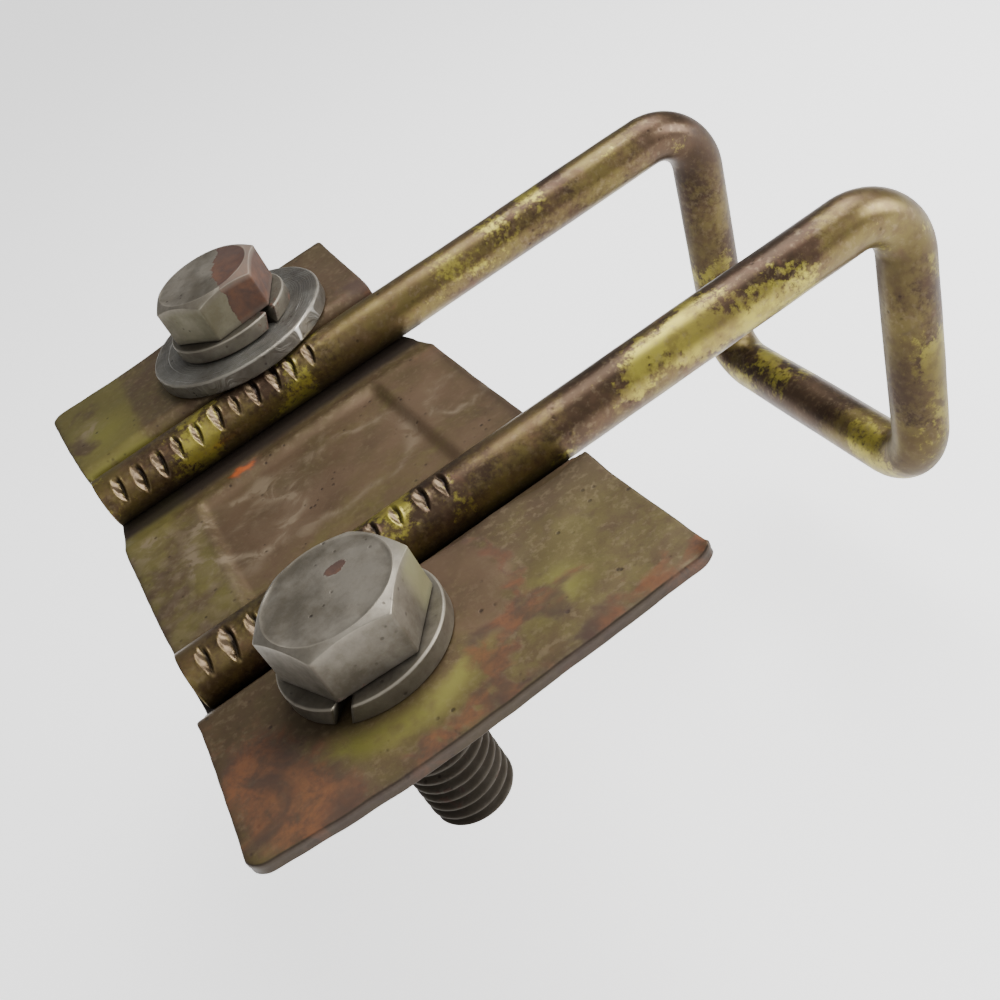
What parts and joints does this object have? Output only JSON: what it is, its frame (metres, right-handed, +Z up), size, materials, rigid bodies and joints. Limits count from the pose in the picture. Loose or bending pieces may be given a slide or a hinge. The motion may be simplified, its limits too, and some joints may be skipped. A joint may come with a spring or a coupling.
{
  "type": "bolt-on rod hook bracket",
  "caption": "Pressed sheet plate with two grooves carrying a bent round-rod hook loop, with hexagon bolts, spring washers and a large flat washer for fixing it.",
  "frame": {"origin": "midway between the axes of the two bolts, on the underside of the plate's flanges", "axes": "+Z up through the bolt heads, +X along the rod legs towards the hook, +Y from the near bolt's side to the far bolt's side"},
  "size_m": [0.0848, 0.0883, 0.0477],
  "materials": {
    "plate_zinc": "yellow passivated zinc on sheet steel, stained and rusting at the edges",
    "rod_zinc": "yellow passivated zinc on round steel rod, satin",
    "bolt_steel": "dull zinc plated steel with spots of rust",
    "spring_steel": "dull zinc plated spring steel",
    "washer_zinc": "bright zinc plated steel with turned swirl marks"
  },
  "bodies": {
    "bracket": {"mounting_plate": "plate_zinc", "hook_rod": "rod_zinc"},
    "near_washer": {"near_spring_washer": "spring_steel"},
    "near_bolt": {"near_bolt": "bolt_steel"},
    "far_washers": {"far_flat_washer": "washer_zinc", "far_spring_washer": "spring_steel"},
    "far_bolt": {"far_bolt": "bolt_steel"}
  },
  "joints": [
    {"name": "near_lift", "type": "slide", "parent": "bracket", "child": "near_washer", "axis": [0, 0, 1], "range_m": [0, 0.018]},
    {"name": "near_turn", "type": "hinge", "parent": "near_washer", "child": "near_bolt", "pos_m": [-0.0035, -0.0312, 0], "axis": [0, 0, 1], "continuous": true},
    {"name": "far_lift", "type": "slide", "parent": "bracket", "child": "far_washers", "axis": [0, 0, 1], "range_m": [0, 0.016]},
    {"name": "far_turn", "type": "hinge", "parent": "far_washers", "child": "far_bolt", "pos_m": [0.0035, 0.0312, 0], "axis": [0, 0, 1], "continuous": true}
  ]
}
